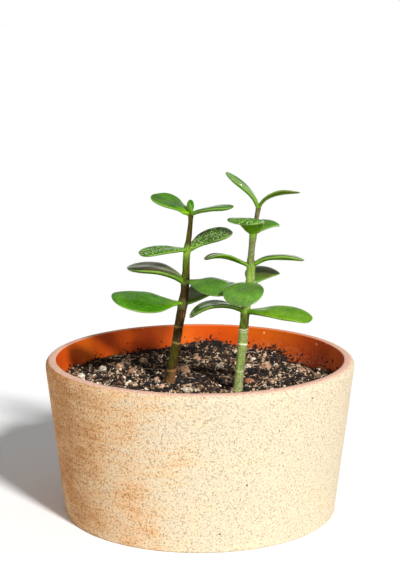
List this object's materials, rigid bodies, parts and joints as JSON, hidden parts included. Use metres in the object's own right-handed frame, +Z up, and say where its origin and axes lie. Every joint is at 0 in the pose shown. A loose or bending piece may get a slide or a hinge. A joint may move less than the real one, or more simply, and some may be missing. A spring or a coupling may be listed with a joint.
{
  "type": "potted jade plant",
  "caption": "Young jade plant: two upright cuttings with glossy fleshy leaves, rooted in gritty soil in a wide round clay bowl that stands on its own flat base.",
  "frame": {"origin": "centre of the pot's flat underside", "axes": "+Z up along the pot's axis; +X to the viewer's right and +Y to the pot's back when the plant is seen from its front"},
  "size_m": [0.2, 0.2, 0.224],
  "materials": {
    "fired_clay": "unglazed, sandy and matt outside, smoother and orange inside",
    "potting_soil": "loose dark crumbs with pale grit",
    "jade_leaf": "smooth waxy skin, glossy",
    "jade_bud_leaf": "smooth waxy skin, paler and younger",
    "jade_stem": "green to olive-brown skin with pale ring scars, satin",
    "clay_pebble": "rough, porous and matt",
    "pumice": "pale, porous and matt",
    "terracotta": "broken, matt"
  },
  "bodies": {
    "root": {"pot": "fired_clay", "soil": "potting_soil", "left_plant_stem": "jade_stem", "left_plant_leaf_1_left": "jade_leaf", "left_plant_leaf_1_right": "jade_leaf", "left_plant_leaf_2_left": "jade_leaf", "left_plant_leaf_2_right": "jade_leaf", "left_plant_leaf_3_left": "jade_leaf", "left_plant_leaf_3_right": "jade_leaf", "left_plant_leaf_4_left": "jade_leaf", "left_plant_leaf_4_right": "jade_leaf", "left_plant_bud_leaf_front": "jade_bud_leaf", "left_plant_bud_leaf_back": "jade_bud_leaf", "right_plant_stem": "jade_stem", "right_plant_leaf_1_left": "jade_leaf", "right_plant_leaf_1_right": "jade_leaf", "right_plant_leaf_2_front": "jade_leaf", "right_plant_leaf_2_back": "jade_leaf", "right_plant_leaf_3_left": "jade_leaf", "right_plant_leaf_3_right": "jade_leaf", "right_plant_leaf_4_front": "jade_leaf", "right_plant_leaf_4_back": "jade_leaf", "right_plant_leaf_5_left": "jade_leaf", "right_plant_leaf_5_right": "jade_leaf", "clay_pebble_1": "clay_pebble", "clay_pebble_2": "clay_pebble", "clay_pebble_3": "clay_pebble", "clay_pebble_4": "clay_pebble", "clay_pebble_5": "clay_pebble", "clay_pebble_6": "clay_pebble", "clay_pebble_7": "clay_pebble", "clay_pebble_8": "clay_pebble", "clay_pebble_9": "clay_pebble", "clay_pebble_10": "clay_pebble", "pumice_stone_1": "pumice", "pumice_stone_2": "pumice", "pumice_stone_3": "pumice", "pumice_stone_4": "pumice", "pumice_stone_5": "pumice", "pumice_stone_6": "pumice", "pumice_stone_7": "pumice", "terracotta_chip": "terracotta"}
  },
  "joints": []
}
